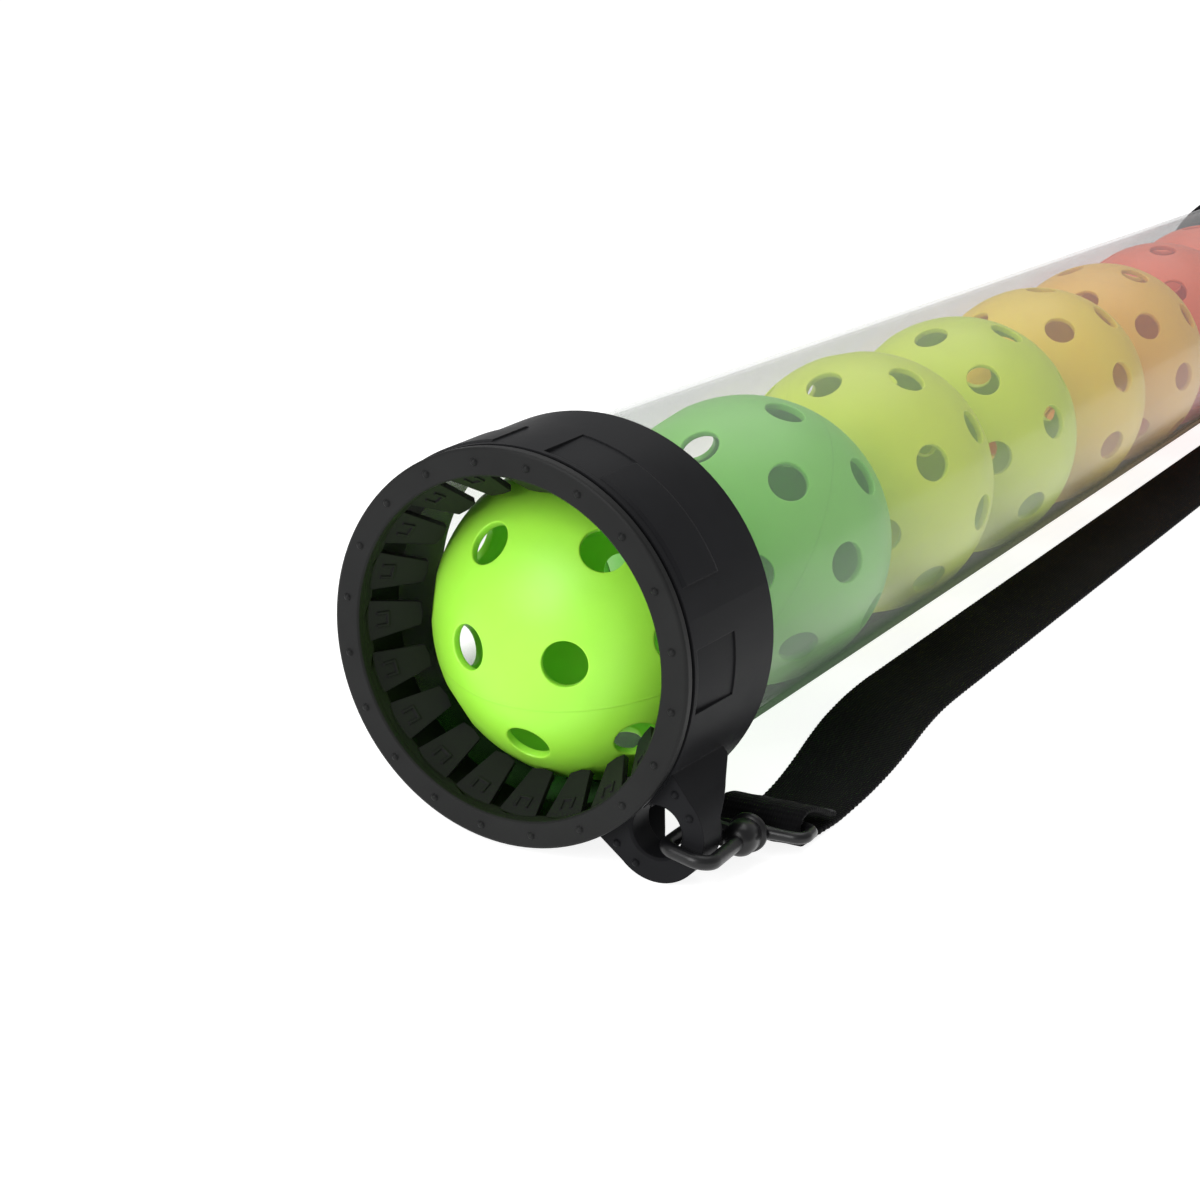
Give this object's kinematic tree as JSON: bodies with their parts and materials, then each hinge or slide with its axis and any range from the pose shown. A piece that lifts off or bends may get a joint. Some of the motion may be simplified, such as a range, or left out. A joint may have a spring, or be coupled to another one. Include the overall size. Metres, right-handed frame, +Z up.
{
  "type": "ball pick-up tube",
  "caption": "Clear tube that picks up and stores perforated plastic balls through a mouth of springy fingers, with lugged collars, a pull-off cap and a clip-on carrying strap.",
  "frame": {"origin": "on the floor under the middle of the object's bounding box", "axes": "+Y along the tube from the mouth to the cap, +Z up, +X to the side where the strap lies"},
  "size_m": [0.1037, 0.6903, 0.0892],
  "materials": {
    "clear_tube": "clear extruded tube with a milky haze",
    "collar_plastic": "satin black moulding",
    "finger_plastic": "satin black flexible moulding",
    "cap_plastic": "satin black moulding",
    "ball_lime": "smooth moulded plastic",
    "ball_green": "smooth moulded plastic",
    "ball_citrus": "smooth moulded plastic",
    "ball_amber": "smooth moulded plastic",
    "ball_orange": "smooth moulded plastic",
    "ball_red": "smooth moulded plastic",
    "black_metal": "satin black coating on cast metal",
    "pin_steel": "plain steel",
    "webbing": "black polyester webbing, plain weave"
  },
  "bodies": {
    "tube_body": {"tube": "clear_tube", "mouth_collar": "collar_plastic", "finger_ring": "finger_plastic", "end_collar": "collar_plastic", "strap": "webbing"},
    "end_cap_body": {"end_cap": "cap_plastic"},
    "ball_1_body": {"ball_1": "ball_lime"},
    "ball_2_body": {"ball_2": "ball_green"},
    "ball_3_body": {"ball_3": "ball_citrus"},
    "ball_4_body": {"ball_4": "ball_citrus"},
    "ball_5_body": {"ball_5": "ball_amber"},
    "ball_6_body": {"ball_6": "ball_orange"},
    "ball_7_body": {"ball_7": "ball_red"},
    "ball_8_body": {"ball_8": "ball_red"},
    "mouth_hook_body": {"mouth_hook": "black_metal", "mouth_gate_pin": "pin_steel"},
    "mouth_gate_body": {"mouth_gate": "black_metal"},
    "mouth_eye_body": {"mouth_eye": "black_metal"},
    "end_hook_body": {"end_hook": "black_metal", "end_gate_pin": "pin_steel"},
    "end_gate_body": {"end_gate": "black_metal"},
    "end_eye_body": {"end_eye": "black_metal"}
  },
  "joints": [
    {"name": "cap_pull", "type": "slide", "parent": "tube_body", "child": "end_cap_body", "axis": [0, 1, 0], "range_m": [0, 0.03]},
    {"name": "ball_row", "type": "slide", "parent": "tube_body", "child": "ball_1_body", "axis": [0, 1, 0], "range_m": [0, 0.088]},
    {"name": "ball_2_roll_in", "type": "slide", "parent": "tube_body", "child": "ball_2_body", "axis": [0, 1, 0], "range_m": [0, 0.088]},
    {"name": "ball_3_roll_in", "type": "slide", "parent": "tube_body", "child": "ball_3_body", "axis": [0, 1, 0], "range_m": [0, 0.088]},
    {"name": "ball_4_roll_in", "type": "slide", "parent": "tube_body", "child": "ball_4_body", "axis": [0, 1, 0], "range_m": [0, 0.088]},
    {"name": "ball_5_roll_in", "type": "slide", "parent": "tube_body", "child": "ball_5_body", "axis": [0, 1, 0], "range_m": [0, 0.088]},
    {"name": "ball_6_roll_in", "type": "slide", "parent": "tube_body", "child": "ball_6_body", "axis": [0, 1, 0], "range_m": [0, 0.088]},
    {"name": "ball_7_roll_in", "type": "slide", "parent": "tube_body", "child": "ball_7_body", "axis": [0, 1, 0], "range_m": [0, 0.088]},
    {"name": "ball_8_roll_in", "type": "slide", "parent": "tube_body", "child": "ball_8_body", "axis": [0, 1, 0], "range_m": [0, 0.088]},
    {"name": "mouth_hook_swing", "type": "hinge", "parent": "tube_body", "child": "mouth_hook_body", "pos_m": [0.03606, -0.33654, 0.0076], "axis": [0, 0, -1], "range_deg": [0, 15], "deforming": ["strap"]},
    {"name": "mouth_gate_hinge", "type": "hinge", "parent": "mouth_hook_body", "child": "mouth_gate_body", "pos_m": [0.03277, -0.32619, 0.00757], "axis": [0.1122, 0.0988, 0.9888], "range_deg": [0, 50], "stiffness_Nm_per_rad": 0.002},
    {"name": "mouth_eye_swivel", "type": "hinge", "parent": "mouth_hook_body", "child": "mouth_eye_body", "pos_m": [0.03988, -0.32412, 0.00655], "axis": [-0.1041, 0.9907, -0.0872], "continuous": true, "deforming": ["strap"]},
    {"name": "end_hook_swing", "type": "hinge", "parent": "tube_body", "child": "end_hook_body", "pos_m": [0.03606, 0.33346, 0.0076], "axis": [0, 0, 1], "range_deg": [0, 15], "deforming": ["strap"]},
    {"name": "end_gate_hinge", "type": "hinge", "parent": "end_hook_body", "child": "end_gate_body", "pos_m": [0.03277, 0.32311, 0.00757], "axis": [-0.1122, 0.0988, -0.9888], "range_deg": [0, 50], "stiffness_Nm_per_rad": 0.002},
    {"name": "end_eye_swivel", "type": "hinge", "parent": "end_hook_body", "child": "end_eye_body", "pos_m": [0.03988, 0.32104, 0.00655], "axis": [-0.1041, -0.9907, -0.0872], "continuous": true, "deforming": ["strap"]}
  ],
  "couplings": [
    {"joint": "ball_2_roll_in", "follows": "ball_row", "ratio": 1},
    {"joint": "ball_3_roll_in", "follows": "ball_row", "ratio": 1},
    {"joint": "ball_4_roll_in", "follows": "ball_row", "ratio": 1},
    {"joint": "ball_5_roll_in", "follows": "ball_row", "ratio": 1},
    {"joint": "ball_6_roll_in", "follows": "ball_row", "ratio": 1},
    {"joint": "ball_7_roll_in", "follows": "ball_row", "ratio": 1},
    {"joint": "ball_8_roll_in", "follows": "ball_row", "ratio": 1}
  ]
}
